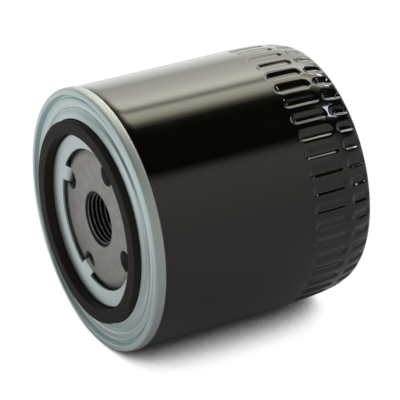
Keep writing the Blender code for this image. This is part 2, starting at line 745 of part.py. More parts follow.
def make_bypass_valve():
    cage_flange, seat_flange, seat_face, seal_face, disc_face, disc_back = bypass_stations()
    seat = [
        (BYPASS_PORT_RADIUS, seat_face),
        (BYPASS_SEAT_RADIUS, seat_face),
        (BYPASS_SEAT_RADIUS, seat_flange),
        (CAGE_FLANGE_RADIUS, seat_flange),
        (CAGE_FLANGE_RADIUS, seat_flange + BYPASS_SHEET),
        (BYPASS_PORT_RADIUS, seat_flange + BYPASS_SHEET),
    ]
    turned("bypass_seat", seat, BYPASS_STEPS, tin)
    ring(
        "bypass_seal",
        BYPASS_PORT_RADIUS - BYPASS_SHEET,
        BYPASS_DISC_RADIUS,
        seal_face - BYPASS_SHEET,
        seal_face,
        BYPASS_STEPS,
        valve_rubber,
    )
    guide_end = disc_back - BYPASS_GUIDE_LENGTH
    disc = [
        (0.0, disc_face),
        (BYPASS_DISC_RADIUS, disc_face),
        (BYPASS_DISC_RADIUS, disc_back),
        (BYPASS_GUIDE_RADIUS, disc_back),
        (BYPASS_GUIDE_RADIUS, guide_end),
        (0.0, guide_end),
    ]
    turned("bypass_disc", disc, BYPASS_STEPS, tin)
    outer = CAGE_OUTER_RADIUS
    inner = CAGE_INNER_RADIUS
    floor = cage_flange - CAGE_LENGTH
    cage = [
        (CAGE_DRAIN_RADIUS, floor),
        (outer, floor),
        (outer, cage_flange),
        (CAGE_FLANGE_RADIUS, cage_flange),
        (CAGE_FLANGE_RADIUS, cage_flange + BYPASS_SHEET),
        (inner, cage_flange + BYPASS_SHEET),
        (inner, floor + CAGE_WALL),
        (CAGE_DRAIN_RADIUS, floor + CAGE_WALL),
    ]
    cup = turned("bypass_cage", cage, BYPASS_STEPS, tin)
    cup.modifiers.remove(cup.modifiers["Normals"])
    window_start = floor + CAGE_WINDOW_MARGIN
    window_end = cage_flange - CAGE_WINDOW_MARGIN
    for turn in (0.0, pi / 2):
        reach = outer + CAGE_WALL
        half = CAGE_WINDOW_WIDTH / 2
        outline = [(-reach, -half), (reach, -half), (reach, half), (-reach, half)]
        piece = bmesh.new()
        prism(piece, outline, window_start, window_end, around(turn))
        cutter = link(
            f"window_cutter_{round(turn)}", mesh_from("window", piece), None, is_cutter=True
        )
        cut(cup, cutter)
    soften(cup)
    make_spring(floor + CAGE_WALL + TOUCH_GAP, disc_back - TOUCH_GAP)


def make_spring(start, end):
    """Coil between the cage's floor and the moving disc, with its first and last turns closed up."""
    wire = SPRING_WIRE_RADIUS
    closed_rise = 2.2 * wire
    travel = (end - start) - 2 * wire
    inner_turns = SPRING_TURNS - 2
    open_rise = (travel - 2 * closed_rise) / inner_turns
    curve = bpy.data.curves.new("bypass_spring", "CURVE")
    curve.dimensions = "3D"
    curve.bevel_depth = wire
    curve.bevel_resolution = 1
    curve.use_fill_caps = True
    spline = curve.splines.new("POLY")
    count = SPRING_TURNS * SPRING_POINTS_PER_TURN
    spline.points.add(count)
    for i in range(count + 1):
        turn = i / SPRING_POINTS_PER_TURN
        angle = turn * tau
        rise = closed_rise * min(turn, 1.0)
        rise += open_rise * min(max(turn - 1.0, 0.0), inner_turns)
        rise += closed_rise * max(turn - 1.0 - inner_turns, 0.0)
        x = SPRING_COIL_RADIUS * cos(angle)
        y = SPRING_COIL_RADIUS * sin(angle)
        spline.points[i].co = (x, y, start + wire + rise, 1.0)
    spline.use_smooth = True
    link("bypass_spring", curve, spring_steel)


def make_element_spring():
    """Flat ring on the bypass seat with legs that reach out to the inside of the dome."""
    seat_back = bypass_stations()[1] + BYPASS_SHEET
    base = seat_back + TOUCH_GAP
    holder = [
        (HOLDER_INNER_RADIUS, base),
        (HOLDER_RING_RADIUS, base),
        (HOLDER_RING_RADIUS, base + HOLDER_SHEET),
        (HOLDER_INNER_RADIUS, base + HOLDER_SHEET),
    ]
    spring = turned("element_spring", holder, BYPASS_STEPS, spring_steel)
    spring.modifiers.remove(spring.modifiers["Normals"])
    top = DOME_CORNER_STATION - HOLDER_SHEET
    path = [
        (HOLDER_RING_RADIUS - 2 * HOLDER_SHEET, base),
        (HOLDER_RING_RADIUS + 2 * HOLDER_SHEET, base),
        (HOLDER_FOOT_RADIUS - 3 * HOLDER_SHEET, top - HOLDER_SHEET),
        (HOLDER_FOOT_RADIUS, top),
        (HOLDER_TOE_RADIUS, top - HOLDER_SHEET),
    ]
    for i in range(HOLDER_LEG_COUNT):
        bm = bmesh.new()
        placed = around((i + 0.5) * tau / HOLDER_LEG_COUNT)
        bent_strip(bm, path, HOLDER_SHEET, HOLDER_LEG_WIDTH, placed)
        leg = link(f"spring_leg_{i}", mesh_from("spring_leg", bm), None, is_cutter=True)
        cut(spring, leg, "UNION")
    soften(spring)


clear_scene()
parts = new_collection("oil_filter")
cutters = new_collection("cutters", hidden=True)
assembly = bpy.data.objects.new("oil_filter_axis", None)
assembly.location = (0.0, -OVERALL_LENGTH / 2, 0.0)
assembly.rotation_euler = (-pi / 2, 0.0, 0.0)
parts.objects.link(assembly)

black_paint = material("black_paint", (0.022, 0.021, 0.020), 0.22, 0.0)
zinc = material("zinc_plate", (0.56, 0.61, 0.61), 0.34, 0.9)
raw_steel = material("raw_steel", (0.42, 0.41, 0.40), 0.5, 0.9)
gasket_rubber = material("gasket_rubber", (0.034, 0.032, 0.030), 0.7, 0.0)
valve_rubber = material("valve_rubber", (0.05, 0.05, 0.05), 0.6, 0.0)
sealant = material("seam_sealant", (0.35, 0.33, 0.30), 0.7, 0.0)
tin = material("tin_plate", (0.62, 0.62, 0.60), 0.38, 0.9)
potting = material("potting", (0.55, 0.42, 0.25), 0.6, 0.0)
paper = material("filter_paper", (0.74, 0.62, 0.38), 0.9, 0.0)
spring_steel = material("spring_steel", (0.30, 0.30, 0.31), 0.35, 0.9)

make_lid()
make_gasket()
make_sealant()
make_base_plate()
make_can()
make_caps()
make_potting()
make_media()
make_clip()
make_centre_tube()
make_anti_drain_valve()
make_bypass_valve()
make_element_spring()
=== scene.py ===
"""Looks of a spin-on oil filter that lies on its side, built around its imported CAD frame.

The filter's axis is the frame's Y. A station is the distance along it from the gasket face towards the
closed end, and an angle is measured round it from +X towards +Z. All lengths are in metres.
"""

from math import cos, pi, radians, sin, tau

import bmesh
import bpy
import numpy as np
from mathutils import Matrix, Vector


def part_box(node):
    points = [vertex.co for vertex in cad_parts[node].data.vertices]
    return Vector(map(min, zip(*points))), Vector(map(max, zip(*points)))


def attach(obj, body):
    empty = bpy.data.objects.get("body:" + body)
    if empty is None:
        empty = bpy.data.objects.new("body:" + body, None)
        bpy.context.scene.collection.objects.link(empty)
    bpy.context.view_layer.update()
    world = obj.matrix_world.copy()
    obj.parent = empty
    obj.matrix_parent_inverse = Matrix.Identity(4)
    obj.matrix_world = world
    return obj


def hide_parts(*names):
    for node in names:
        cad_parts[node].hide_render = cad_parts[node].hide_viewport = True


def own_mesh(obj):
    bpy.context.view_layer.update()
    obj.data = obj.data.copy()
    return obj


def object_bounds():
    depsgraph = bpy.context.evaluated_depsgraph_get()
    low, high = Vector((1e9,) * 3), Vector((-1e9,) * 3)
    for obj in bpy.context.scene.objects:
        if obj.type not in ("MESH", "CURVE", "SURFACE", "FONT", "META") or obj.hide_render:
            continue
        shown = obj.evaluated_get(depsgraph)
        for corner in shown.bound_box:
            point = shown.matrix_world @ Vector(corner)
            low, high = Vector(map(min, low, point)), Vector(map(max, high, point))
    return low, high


MM = 0.001

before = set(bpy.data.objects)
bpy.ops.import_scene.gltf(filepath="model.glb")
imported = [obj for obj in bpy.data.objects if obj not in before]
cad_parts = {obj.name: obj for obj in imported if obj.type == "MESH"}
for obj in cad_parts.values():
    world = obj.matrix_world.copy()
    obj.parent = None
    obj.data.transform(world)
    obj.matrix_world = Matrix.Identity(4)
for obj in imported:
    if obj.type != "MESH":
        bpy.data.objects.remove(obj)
cad_low, cad_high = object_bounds()


# Places read from the frame


def ring_of(node):
    """The outer radius and the first and last stations of a node that is turned about the axis."""
    low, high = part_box(node)
    return (high.x - low.x) / 2, low.y - FACE_Y, high.y - FACE_Y


FACE_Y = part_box("mounting_gasket")[0].y
RIM_RADIUS = ring_of("seaming_lid")[0]
GASKET_RADIUS, _, GASKET_DEPTH = ring_of("mounting_gasket")
PLATE_RADIUS, PLATE_FRONT, BOSS_END = ring_of("base_plate")
LENGTH = cad_high.y - FACE_Y
SPRING_LOW, SPRING_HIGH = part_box("bypass_spring")

# Sizes of the part that its boxes don't give

RIM_OVERHANG = 0.4 * MM
CAN_RADIUS = RIM_RADIUS - RIM_OVERHANG
THREAD_PITCH = 25.4 / 16 * MM
THREAD_MAJOR = 9.525 * MM
THREAD_MINOR = 8.55 * MM


# Meshes


def filleted(corners, segments=5):
    """A path through (radius, station, fillet) corners, each rounded by its fillet length."""
    points = []
    last = len(corners) - 1
    for i, (radius, station, fillet) in enumerate(corners):
        corner = np.array((radius, station))
        if fillet == 0 or i in (0, last):
            points.append(corner)
            continue
        before = np.array(corners[i - 1][:2]) - corner
        after = np.array(corners[i + 1][:2]) - corner
        reach_before = min(fillet, np.hypot(*before) / 2)
        reach_after = min(fillet, np.hypot(*after) / 2)
        start = corner + before / np.hypot(*before) * reach_before
        end = corner + after / np.hypot(*after) * reach_after
        for step in range(segments + 1):
            t = step / segments
            points.append((1 - t) ** 2 * start + 2 * t * (1 - t) * corner + t * t * end)
    return np.array(points)


def in_row(radius, angle, station):
    """Points of the frame from cylindrical ones."""
    return np.stack((radius * np.cos(angle), station + FACE_Y, radius * np.sin(angle)), axis=-1)


def smooth(mesh, sharp_angle=35):
    mesh.shade_smooth()
    mesh.set_sharp_from_angle(angle=radians(sharp_angle))


def mesh_object(name, points, faces, sharp_angle=35):
    """An object from points and faces, turned inside out if its volume is negative."""
    mesh = bpy.data.meshes.new(name)
    mesh.from_pydata(points.tolist(), [], faces)
    bm = bmesh.new()
    bm.from_mesh(mesh)
    if bm.calc_volume(signed=True) < 0:
        bmesh.ops.reverse_faces(bm, faces=bm.faces)
    bm.to_mesh(mesh)
    bm.free()
    mesh.update()
    smooth(mesh, sharp_angle)
    made = bpy.data.objects.new(name, mesh)
    bpy.context.scene.collection.objects.link(made)
    return made


def all_round(columns):
    """Evenly spaced angles over one turn."""
    return np.arange(columns) * tau / columns


def revolved(name, profile, angles, shape=None, closed=True, sharp_angle=35):
    """A turned piece. A closed profile makes a ring; an open one runs from the axis to the axis."""
    columns = len(angles)
    rows = profile if closed else profile[1:-1]
    radius = np.repeat(rows[:, :1], columns, axis=1)
    station = np.repeat(rows[:, 1:], columns, axis=1)
    if shape:
        radius, station = shape(radius, station, angles[None, :])
    points = in_row(radius, angles[None, :], station).reshape(-1, 3)
    count = len(rows)
    faces = []
    for i in range(count if closed else count - 1):
        k = (i + 1) % count
        for j in range(columns):
            n = (j + 1) % columns
            faces.append((i * columns + j, i * columns + n, k * columns + n, k * columns + j))
    if not closed:
        poles = in_row(np.zeros(2), np.zeros(2), profile[[0, -1], 1])
        points = np.concatenate((points, poles))
        first, last = count * columns, count * columns + 1
        base = (count - 1) * columns
        for j in range(columns):
            n = (j + 1) % columns
            faces.append((first, n, j))
            faces.append((last, base + j, base + n))
    return mesh_object(name, points, faces, sharp_angle)


def finish_piece(piece, look, body, slot, *nodes):
    """Gives a piece its material and body, and hides the nodes that it stands for. Its slot is not used."""
    piece.data.materials.clear()
    piece.data.materials.append(look)
    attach(piece, body)
    if nodes:
        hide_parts(*nodes)
    return piece


# Materials


class Graph:
    """The nodes and links of one node tree, with short calls for the ones used here."""

    def __init__(self, tree):
        self.nodes = tree.nodes
        self.links = tree.links

    def split(self, vector):
        node = self.nodes.new("ShaderNodeSeparateXYZ")
        self.links.new(vector, node.inputs[0])
        return node.outputs

    def math(self, operation, first, second):
        node = self.nodes.new("ShaderNodeMath")
        node.operation = operation
        for socket, value in zip(node.inputs, (first, second)):
            if isinstance(value, (int, float)):
                socket.default_value = value
            else:
                self.links.new(value, socket)
        return node.outputs[0]

    def spread(self, value, low, high, out_low, out_high, smooth=False):
        """The value taken from one range to another, clamped."""
        node = self.nodes.new("ShaderNodeMapRange")
        if smooth:
            node.interpolation_type = "SMOOTHSTEP"
        for socket, number in zip(list(node.inputs)[1:5], (low, high, out_low, out_high)):
            socket.default_value = number
        self.links.new(value, node.inputs[0])
        return node.outputs[0]

    def mix(self, factor, first, second):
        """A colour between two, each a colour triple or a socket."""
        node = self.nodes.new("ShaderNodeMix")
        node.data_type = "RGBA"
        self.links.new(factor, node.inputs["Factor"])
        for socket, colour in ((node.inputs[6], first), (node.inputs[7], second)):
            if isinstance(colour, tuple):
                socket.default_value = (*colour, 1)
            else:
                self.links.new(colour, socket)
        return node.outputs[2]


class Shader(Graph):
    """A Principled material and the nodes that feed it, all in object coordinates in metres."""

    def __init__(self, name, colour, roughness, metallic=0.0):
        self.material = bpy.data.materials.new(name)
        self.material.use_nodes = True
        super().__init__(self.material.node_tree)
        self.shader = self.nodes["Principled BSDF"]
        self.shader.inputs["Base Color"].default_value = (*colour, 1)
        self.shader.inputs["Roughness"].default_value = roughness
        self.shader.inputs["Metallic"].default_value = metallic
        self.place = self.nodes.new("ShaderNodeTexCoord").outputs["Object"]
        self.normal = None

    def noise(self, size, detail=4, stretch=(1, 1, 1), roughness=0.55):
        """Noise whose features are about this big, drawn out along the axes by stretch."""
        mapping = self.nodes.new("ShaderNodeMapping")
        mapping.inputs["Scale"].default_value = [1 / (size * s) for s in stretch]
        self.links.new(self.place, mapping.inputs["Vector"])
        texture = self.nodes.new("ShaderNodeTexNoise")
        texture.inputs["Scale"].default_value = 1.0
        texture.inputs["Detail"].default_value = detail
        texture.inputs["Roughness"].default_value = roughness
        self.links.new(mapping.outputs["Vector"], texture.inputs["Vector"])
        return texture.outputs["Fac"]

    def distance_from_axis(self):
        x, _, z = self.split(self.place)
        squares = self.math("ADD", self.math("MULTIPLY", x, x), self.math("MULTIPLY", z, z))
        return self.math("SQRT", squares, 0)

    def turned_noise(self, size, around, detail=3):
        """Noise in (radius, station, angle): fine rings, this many patches round for each radian."""
        x, y, z = self.split(self.place)
        radius = self.distance_from_axis()
        angle = self.math("ARCTAN2", z, x)
        joined = self.nodes.new("ShaderNodeCombineXYZ")
        self.links.new(self.math("MULTIPLY", radius, 1 / size), joined.inputs[0])
        self.links.new(self.math("MULTIPLY", y, 1 / size), joined.inputs[1])
        self.links.new(self.math("MULTIPLY", angle, around), joined.inputs[2])
        texture = self.nodes.new("ShaderNodeTexNoise")
        texture.inputs["Scale"].default_value = 1.0
        texture.inputs["Detail"].default_value = detail
        self.links.new(joined.outputs[0], texture.inputs["Vector"])
        return texture.outputs["Fac"]

    def colour(self, socket):
        self.links.new(socket, self.shader.inputs["Base Color"])

    def roughness(self, socket):
        self.links.new(socket, self.shader.inputs["Roughness"])

    def bump(self, height, depth):
        """Relief this deep, laid over any relief given before it."""
        node = self.nodes.new("ShaderNodeBump")
        node.inputs["Distance"].default_value = depth
        node.inputs["Strength"].default_value = 1.0
        self.links.new(height, node.inputs["Height"])
        if self.normal:
            self.links.new(self.normal, node.inputs["Normal"])
        self.normal = node.outputs[0]
        self.links.new(self.normal, self.shader.inputs["Normal"])

    def set(self, **values):
        for name, value in values.items():
            self.shader.inputs[name.replace("_", " ")].default_value = value


def black_paint():
    """Glossy stoved paint with a faint orange peel, fine dust and a slight haze in patches."""
    black, dusty = (0.0009, 0.0008, 0.0006), (0.004, 0.004, 0.0035)
    s = Shader("black_paint", black, 0.12)
    s.set(IOR=1.5, Specular_IOR_Level=0.5)
    s.bump(s.noise(1.6 * MM, detail=2), 0.004 * MM)
    s.bump(s.noise(0.35 * MM, detail=2), 0.0006 * MM)
    haze = s.noise(9 * MM, detail=3)
    s.roughness(s.spread(haze, 0.35, 0.7, 0.05, 0.10))
    dust = s.noise(0.22 * MM, detail=1)
    s.colour(s.mix(s.spread(dust, 0.72, 0.8, 0, 1), black, dusty))
    return s.material


def zinc_plate():
    """Passivated zinc with a fine grain and a blue-green cast, darker and matt on the rim's outer edge."""
    s = Shader("zinc_plate", (0.78, 0.90, 0.90), 0.3, 0.97)
    grain = s.noise(0.35 * MM, detail=4)
    cloud = s.noise(5 * MM, detail=3)
    rings = s.turned_noise(0.18 * MM, 1.5)
    tint = s.mix(s.spread(cloud, 0.3, 0.7, 0, 1), (0.72, 0.86, 0.87), (0.80, 0.91, 0.90))
    zinc = s.mix(s.spread(grain, 0.35, 0.65, 0, 1), tint, (0.80, 0.91, 0.91))
    radius = s.distance_from_axis()
    # The rim's outer edge is given a darker colour and a rougher finish.
    darker_matt_rim = s.spread(radius, RIM_RADIUS - 0.75 * MM, RIM_RADIUS - 0.15 * MM, 0, 1)
    s.colour(s.mix(darker_matt_rim, zinc, (0.43, 0.47, 0.465)))
    matt = s.math("MULTIPLY", darker_matt_rim, 0.26)
    s.roughness(s.math("ADD", s.spread(grain, 0.3, 0.7, 0.30, 0.36), matt))
    s.bump(rings, 0.002 * MM)
    s.bump(grain, 0.0012 * MM)
    return s.material


def plate_steel():
    """Stamped mild steel with a fine matt grain, and painted shade in the roots of the thread."""
    s = Shader("plate_steel", (0.50, 0.49, 0.475), 0.42, 0.9)
    grain = s.noise(0.45 * MM, detail=6, roughness=0.75)
    cloud = s.noise(4 * MM, detail=4)
    tint = s.mix(s.spread(cloud, 0.3, 0.7, 0, 1), (0.43, 0.42, 0.405), (0.55, 0.54, 0.52))
    steel = s.mix(s.spread(grain, 0.35, 0.65, 0, 0.55), tint, (0.30, 0.29, 0.275))
    radius = s.distance_from_axis()
    # Painted shade: the roots of the thread in the bore are darkened almost to black, while the crests stay
    # light.
    in_bore = s.spread(radius, THREAD_MAJOR + 0.175 * MM, THREAD_MAJOR + 0.575 * MM, 1, 0)
    off_crest = s.spread(radius, THREAD_MINOR + 0.11 * MM, THREAD_MINOR + 0.40 * MM, 0.2, 1)
    painted_shade_in_roots = s.math("MULTIPLY", in_bore, off_crest)
    s.colour(s.mix(painted_shade_in_roots, steel, (0.018, 0.017, 0.016)))
    s.roughness(s.spread(grain, 0.3, 0.7, 0.36, 0.5))
    s.bump(grain, 0.012 * MM)
    return s.material


def rubber(name, colour, lighter, roughness):
    """Moulded rubber: matt, with fine bloom and a slight unevenness."""
    s = Shader(name, colour, roughness)
    s.set(IOR=1.5, Specular_IOR_Level=0.2)
    bloom = s.noise(2.5 * MM, detail=5)
    grain = s.noise(0.12 * MM, detail=3)
    s.colour(s.mix(s.spread(bloom, 0.35, 0.7, 0, 1), colour, lighter))
    s.roughness(s.spread(grain, 0.3, 0.7, roughness - 0.08, roughness + 0.06))
    s.bump(grain, 0.004 * MM)
    return s.material


def plain_metal(name, dark, light, roughness, grain_size=0.25 * MM):
    """Bright sheet or wire with a fine grain and cloudy patches."""
    s = Shader(name, light, roughness, 0.95)
    cloud = s.noise(3 * MM, detail=4)
    grain = s.noise(grain_size, detail=4)
    s.colour(s.mix(s.spread(cloud, 0.3, 0.7, 0, 1), dark, light))
    s.roughness(s.spread(grain, 0.3, 0.7, roughness - 0.08, roughness + 0.08))
    s.bump(grain, 0.003 * MM)
    return s.material


def filter_paper():
    """Resin-treated paper: mottled fibres and fine ribs along the pleats."""
    s = Shader("filter_paper", (0.62, 0.48, 0.24), 0.88)
    fibres = s.noise(0.3 * MM, detail=6, stretch=(1, 4, 1))
    cloud = s.noise(3 * MM, detail=3)
    tint = s.mix(s.spread(cloud, 0.3, 0.7, 0, 1), (0.56, 0.42, 0.20), (0.68, 0.54, 0.29))
    s.colour(s.mix(s.spread(fibres, 0.35, 0.7, 0, 0.6), tint, (0.42, 0.30, 0.14)))
    s.bump(fibres, 0.03 * MM)
    return s.material


def potting_compound():
    """Cured plastisol with small pits and a satin skin."""
    s = Shader("potting_compound", (0.30, 0.16, 0.07), 0.5)
    pits = s.noise(0.6 * MM, detail=3)
    cloud = s.noise(4 * MM, detail=3)
    s.colour(s.mix(s.spread(cloud, 0.3, 0.7, 0, 1), (0.27, 0.14, 0.06), (0.36, 0.20, 0.09)))
    s.roughness(s.spread(pits, 0.3, 0.7, 0.4, 0.6))
    s.bump(pits, 0.03 * MM)
    return s.material


def sealing_compound():
    s = Shader("sealing_compound", (0.30, 0.28, 0.25), 0.65)
    lumps = s.noise(0.5 * MM, detail=4)
    s.colour(s.mix(s.spread(lumps, 0.3, 0.7, 0, 1), (0.24, 0.22, 0.19), (0.36, 0.34, 0.30)))
    s.bump(lumps, 0.03 * MM)
    return s.material


# Can

WALL = 0.6 * MM
FLUTES = 45
FLUTE_DEPTH = 0.68 * MM
FLUTE_CENTRE = radians(2.1)
FLUTE_EASY_SIDE = 3.15 * MM
FLUTE_STEEP_SIDE = 1.50 * MM
FLUTE_END = 2.4 * MM
FLUTE_BOTTOM = 0.17
LONG_FLUTE = (64.0 * MM, 78.6 * MM)
SHORT_FLUTE = (79.3 * MM, 87.9 * MM)
CORNER_START = 68.7 * MM
CORNER_RISE = 19.6 * MM
CORNER_DEPTH = 3.4 * MM
CORNER_RADIUS = CAN_RADIUS - CORNER_DEPTH
CORNER_END = CORNER_START + CORNER_RISE
DOME_DROP = 2.2 * MM
DOME_POWER = 2.4
DOME_SHARE = 0.97
FINE_ROW = 0.33 * MM
FLUTE_FRONT_ROW = 0.26 * MM
MIDDLE_ROW = 0.9 * MM
NECK_START = 9.8 * MM
NECK_END = 6.3 * MM
NECK_DEPTH = 0.5 * MM
CAN_FRONT = 4.3 * MM


def eased(value, start, end):
    t = np.clip((value - start) / (end - start), 0, 1)
    return t * t * (3 - 2 * t)


def pressed(across, station, flute):
    """A round-ended flute's depth, from 0 to 1. Across runs from 0 on its centre line to 1 at its edge."""
    start, end = flute[0] + FLUTE_END, flute[1] - FLUTE_END
    beyond = np.maximum(0, np.maximum(start - station, station - end)) / FLUTE_END
    return 1 - eased(np.hypot(across, beyond), FLUTE_BOTTOM, 1)


def fluted(radius, station, angle):
    """Presses the flutes into the outer wall and its inner face alike. One side of a flute is steeper."""
    pitch = tau / FLUTES
    offset = ((angle - FLUTE_CENTRE + pitch / 2) % pitch - pitch / 2) * CAN_RADIUS
    across = np.where(offset > 0, offset / FLUTE_EASY_SIDE, -offset / FLUTE_STEEP_SIDE)
    depth = pressed(across, station, LONG_FLUTE) + pressed(across, station, SHORT_FLUTE)
    wall = eased(radius, CORNER_RADIUS - 4 * MM, CORNER_RADIUS - WALL)
    return radius - FLUTE_DEPTH * depth * wall, station


def can_angles():
    """Columns set close together on the steep side of the flutes and further apart on the easy one."""
    steep = -np.linspace(1, FLUTE_BOTTOM, 7) * FLUTE_STEEP_SIDE
    easy = np.linspace(FLUTE_BOTTOM, 0.96, 9) * FLUTE_EASY_SIDE
    land = -FLUTE_STEEP_SIDE - 0.8 * MM
    one = np.concatenate(((land,), steep, (0,), easy)) / CAN_RADIUS
    turns = FLUTE_CENTRE + all_round(FLUTES)
    return (turns[:, None] + one[None, :]).reshape(-1)


def corner_radius(station):
    """The wall's outer radius: straight, then a quarter of an ellipse into the closed end."""
    share = np.clip((station - CORNER_START) / CORNER_RISE, 0, 1)
    return CORNER_RADIUS + CORNER_DEPTH * np.sqrt(1 - share * share)


def can_outside():
    """The can's outer surface from the middle of its closed end to its open end."""
    dome_radius = CORNER_RADIUS * DOME_SHARE * np.arange(11) / 10
    dome_station = LENGTH - DOME_DROP * (dome_radius / CORNER_RADIUS) ** DOME_POWER
    dome = np.stack((dome_radius, dome_station), axis=1)
    edge = [(CORNER_RADIUS - 0.25 * MM, CORNER_END + 0.12 * MM), (CORNER_RADIUS, CORNER_END)]
    turns = np.linspace(radians(88), radians(75), 6)
    brink = CORNER_START + CORNER_RISE * np.sin(turns)
    flute_ends = np.arange(brink[-1] - FINE_ROW, 75.8 * MM, -FINE_ROW)
    middle = np.arange(75.2 * MM, 67.0 * MM, -MIDDLE_ROW)
    front_ends = np.arange(66.7 * MM, 63.6 * MM, -FLUTE_FRONT_ROW)
    side = (63 * MM, 36 * MM, NECK_START)
    stations = np.concatenate((brink, flute_ends, middle, front_ends, side))
    wall = np.stack((corner_radius(stations), stations), axis=1)
    share = np.arange(1, 9) / 8
    neck = CAN_RADIUS - NECK_DEPTH * share * share
    neck_stations = NECK_START + (NECK_END - NECK_START) * share
    necked = np.stack((neck, neck_stations), axis=1)
    return np.concatenate((dome, edge, wall, necked, [(neck[-1], CAN_FRONT)]))


def make_can():
    """The drawn can as one closed sheet, open at its front."""
    outside = can_outside()
    inner_neck = CAN_RADIUS - NECK_DEPTH - WALL
    inside = [(inner_neck, CAN_FRONT), (inner_neck, NECK_END + 0.5 * MM)]
    inside += [(CAN_RADIUS - WALL, NECK_START + 1 * MM), (CAN_RADIUS - WALL, 62 * MM)]
    for station in np.arange(64, 87, 1.7) * MM:
        inside.append((corner_radius(station) - WALL, station))
    inside.append((CORNER_RADIUS - WALL, LENGTH - 3.3 * MM))
    inside.append((20 * MM, LENGTH - 1.4 * MM))
    inside.append((0.0, LENGTH - WALL))
    profile = np.concatenate((outside, np.array(inside)))
    return revolved("can_shell", profile, can_angles(), shape=fluted, closed=False, sharp_angle=60)


# Lid

LID_SHEET = 0.7 * MM
APERTURE_RADIUS = 25.1 * MM
APERTURE_STATION = 4.28 * MM
LID_COLUMNS = 360
TAB_HALF_WIDTH = 3.2 * MM
TAB_BEND = 3.0 * MM
TAB_SLOPE = radians(12)
TAB_END = 1.6 * MM
TAB_STEPS = 12
TAB_COLUMNS = 13
TAB_ANGLES = [radians(-19.2 + 90 * i) for i in range(4)]


def lid_front():
    """(radius, station, fillet) in mm from the aperture out to the rim's back edge."""
    return [
        (APERTURE_RADIUS / MM, APERTURE_STATION / MM, 0),
        (25.22, 4.18, 0.1),
        (30.30, 3.12, 0.5),
        (30.78, 3.30, 0.3),
        (30.80, 5.85, 0.4),
        (35.95, 5.85, 0.4),
        (35.84, 2.75, 0.15),
        (36.02, 2.42, 0.15),
        (37.70, 3.16, 0.8),
        (38.30, 3.58, 0.4),
        (38.65, 4.30, 0.5),
        (39.05, 4.40, 0.3),
        (39.45, 3.75, 0.45),
        (40.50, 3.28, 0.9),
        (41.80, 3.62, 0.3),
        (42.02, 3.80, 0.08),
        (42.20, 3.55, 0.14),
        (42.60, 3.50, 0.25),
        (43.00, 4.95, 0.5),
        (43.50, 5.25, 0.35),
        (43.88, 4.60, 0.4),
        (43.95, 3.20, 0.5),
        (44.35, 2.40, 0.3),
        (45.20, 2.58, 0.12),
        (45.32, 2.76, 0.06),
        (45.45, 2.62, 0.1),
        (46.05, 2.82, 0.3),
        (46.36, 3.50, 0.5),
        (46.50, 5.30, 0.5),
        (46.50, 5.85, 0.3),
        (46.35, 6.25, 0.2),
        (46.10, 6.30, 0.1),
    ]


def lid_back():
    """(radius, station, fillet) in mm from the rim's back edge inward to the aperture."""
    return [
        (45.80, 6.30, 0),
        (45.80, 3.20, 0.2),
        (44.60, 3.20, 0.2),
        (44.60, 5.40, 0.3),
        (43.70, 5.95, 0.3),
        (42.40, 5.20, 0.4),
        (41.20, 4.40, 0.4),
        (40.20, 4.45, 0.4),
        (39.20, 5.05, 0.3),
        (38.40, 4.90, 0.3),
        (37.20, 3.90, 0.4),
        (36.70, 4.00, 0.2),
        (36.65, 6.55, 0.3),
        (30.10, 6.55, 0.3),
        (30.10, 4.10, 0.3),
        (25.22, 4.98, 0.1),
        (APERTURE_RADIUS / MM, APERTURE_STATION / MM + 0.6, 0),
    ]


def scaled(corners):
    return [(radius * MM, station * MM, fillet * MM) for radius, station, fillet in corners]


def tab_path():
    """The tab's front face as (distance from the axis, station), bending down into its slot."""
    start = APERTURE_RADIUS * cos(np.arcsin(TAB_HALF_WIDTH / APERTURE_RADIUS))
    path = []
    for i in range(TAB_STEPS + 1):
        turn = TAB_SLOPE + (pi / 2 - TAB_SLOPE) * i / TAB_STEPS
        distance = start - TAB_BEND * (sin(turn) - sin(TAB_SLOPE))
        path.append((distance, APERTURE_STATION + TAB_BEND * (cos(TAB_SLOPE) - cos(turn))))
    path.append((path[-1][0] - 0.02 * MM, path[-1][1] + TAB_END))
    return np.array(path)


def lid_angles():
    """The lid's columns, and for each tab the numbers of the columns that it leaves from."""
    half = float(np.arcsin(TAB_HALF_WIDTH / APERTURE_RADIUS))
    gap = radians(90) - 2 * half
    between = (LID_COLUMNS - 4 * TAB_COLUMNS) // 4
    columns, groups = [], []
    for tab in TAB_ANGLES:
        groups.append(list(range(len(columns), len(columns) + TAB_COLUMNS)))
        across = np.linspace(-TAB_HALF_WIDTH, TAB_HALF_WIDTH, TAB_COLUMNS)
        columns += [tab + float(np.arcsin(v / APERTURE_RADIUS)) for v in across]
        columns += [tab + half + gap * (i + 1) / (between + 1) for i in range(between)]
    return np.array(columns), groups


def add_tab(points, faces, tab, front_row, back_row):
    """Adds a tab between the aperture's front and back edges. It gets a row of points at each step."""
    path = tab_path()
    tangent = np.gradient(path, axis=0)
    tangent /= np.hypot(tangent[:, 0], tangent[:, 1])[:, None]
    normal = np.stack((tangent[:, 1], -tangent[:, 0]), axis=1)
    lower = path + normal * LID_SHEET
    rows = [front_row]
    for distance, depth in list(path) + list(lower[::-1]):
        row = []
        for v in np.linspace(-TAB_HALF_WIDTH, TAB_HALF_WIDTH, TAB_COLUMNS):
            x = distance * cos(tab) - v * sin(tab)
            z = distance * sin(tab) + v * cos(tab)
            row.append(len(points))
            points.append(np.array((x, depth + FACE_Y, z)))
        rows.append(row)
    rows.append(back_row)
    for near, far in zip(rows, rows[1:]):
        for j in range(TAB_COLUMNS - 1):
            faces.append((near[j], far[j], far[j + 1], near[j + 1]))
    for edge, turned in ((0, False), (-1, True)):
        for i in range((len(rows) - 1) // 2):
            near, far = rows[i][edge], rows[i + 1][edge]
            near_low, far_low = rows[-1 - i][edge], rows[-2 - i][edge]
            face = (near, near_low, far_low, far)
            faces.append(face[::-1] if turned else face)


